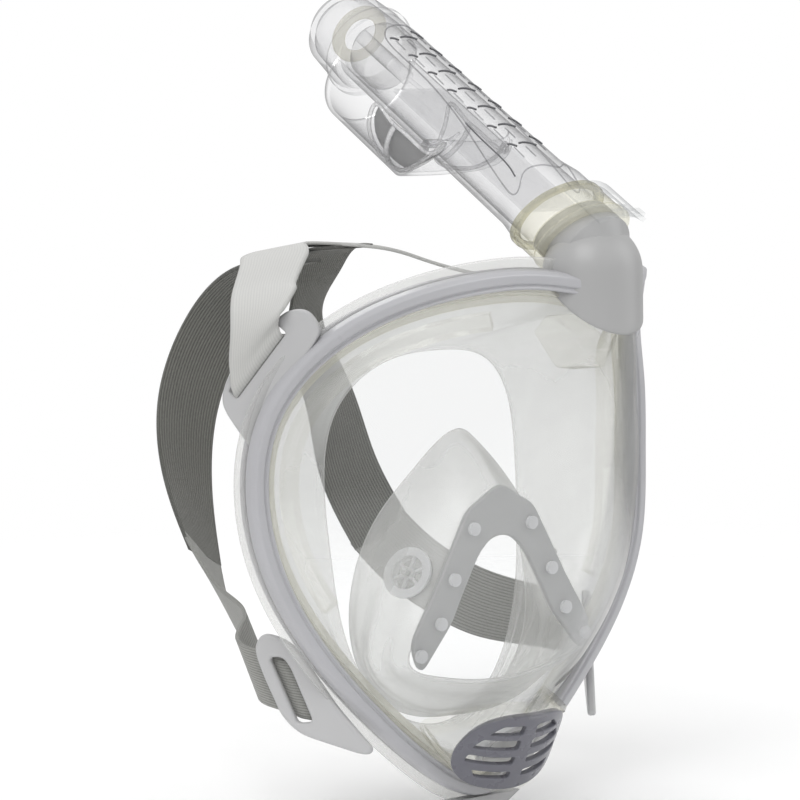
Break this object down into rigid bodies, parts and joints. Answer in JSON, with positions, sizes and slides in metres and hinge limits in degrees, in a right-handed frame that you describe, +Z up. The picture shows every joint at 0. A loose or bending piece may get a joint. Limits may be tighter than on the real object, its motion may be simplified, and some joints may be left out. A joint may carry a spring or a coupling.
{
  "type": "snorkel mask",
  "caption": "Full-face snorkel mask: clear domed lens in an oval frame, silicone skirt and nose cup, dry-top snorkel, chin vent and elastic head straps.",
  "frame": {"origin": "middle plane of the mask, level with the widest points of the oval frame", "axes": "+X the wearer's left, -Y the way the wearer looks, +Z up"},
  "size_m": [0.2072, 0.2489, 0.3277],
  "materials": {
    "frame_grey": "satin moulded plastic",
    "pod_grey": "satin moulded plastic",
    "clamp_grey": "satin moulded plastic",
    "grille_dark": "satin moulded plastic",
    "lens_clear": "polished polycarbonate",
    "tube_clear": "polished clear plastic",
    "collar_cream": "clear plastic with a cream tint",
    "rivet_clear": "clear to white plastic",
    "float_white": "moulded foam plastic",
    "silicone_clear": "translucent silicone",
    "silicone_cream": "translucent cream silicone",
    "seal_dark": "black rubber",
    "webbing": "elastic webbing, light outside and ribbed dark grey inside"
  },
  "bodies": {
    "mask": {"front_frame": "frame_grey", "rear_frame": "frame_grey", "face_skirt": "silicone_clear", "lens_gasket": "silicone_cream", "lens": "lens_clear", "top_pod": "pod_grey", "duct_box": "collar_cream", "side_duct_left": "collar_cream", "side_duct_right": "collar_cream", "cup_clamp": "clamp_grey", "clamp_rivets": "rivet_clear", "inhale_seat_left": "rivet_clear", "inhale_seat_right": "rivet_clear", "nose_cup": "silicone_clear", "exhaust_seat": "rivet_clear", "vent_grille": "grille_dark", "chin_housing": "collar_cream", "vent_clip": "tube_clear", "chin_tab": "frame_grey", "upper_buckle_left": "frame_grey", "upper_buckle_right": "frame_grey", "lower_buckle_left": "frame_grey", "lower_buckle_right": "frame_grey", "lower_strap": "webbing", "upper_strap": "webbing"},
    "snorkel": {"snorkel_tube": "tube_clear", "snorkel_collar": "collar_cream", "collar_seal": "seal_dark", "snorkel_cap": "tube_clear", "float_seat": "silicone_cream", "float_guide": "tube_clear", "tube_divider": "tube_clear", "float_chamber": "tube_clear"},
    "float": {"dry_top_float": "float_white"},
    "latch": {"snorkel_latch": "tube_clear"},
    "inhale_valve_left": {"inhale_disc_left": "silicone_clear"},
    "inhale_valve_right": {"inhale_disc_right": "silicone_clear"},
    "exhaust_valve": {"exhaust_disc": "silicone_clear"}
  },
  "joints": [
    {"name": "snorkel_pull", "type": "slide", "parent": "mask", "child": "snorkel", "axis": [0, 0.8616, 0.5075], "range_m": [0, 0.03]},
    {"name": "latch_press", "type": "hinge", "parent": "snorkel", "child": "latch", "pos_m": [0, -0.08894, 0.12366], "axis": [-1, 0, 0], "range_deg": [0, 5]},
    {"name": "float_slide", "type": "slide", "parent": "snorkel", "child": "float", "axis": [0, 0.8616, 0.5075], "range_m": [0, 0.007]},
    {"name": "inhale_lift_left", "type": "slide", "parent": "mask", "child": "inhale_valve_left", "axis": [-0.8377, 0.3126, -0.4479], "range_m": [0, 0.001]},
    {"name": "inhale_lift_right", "type": "slide", "parent": "mask", "child": "inhale_valve_right", "axis": [0.8377, 0.3126, -0.4479], "range_m": [0, 0.001]},
    {"name": "exhaust_lift", "type": "slide", "parent": "mask", "child": "exhaust_valve", "axis": [0, -0.7413, -0.6712], "range_m": [0, 0.001]}
  ]
}
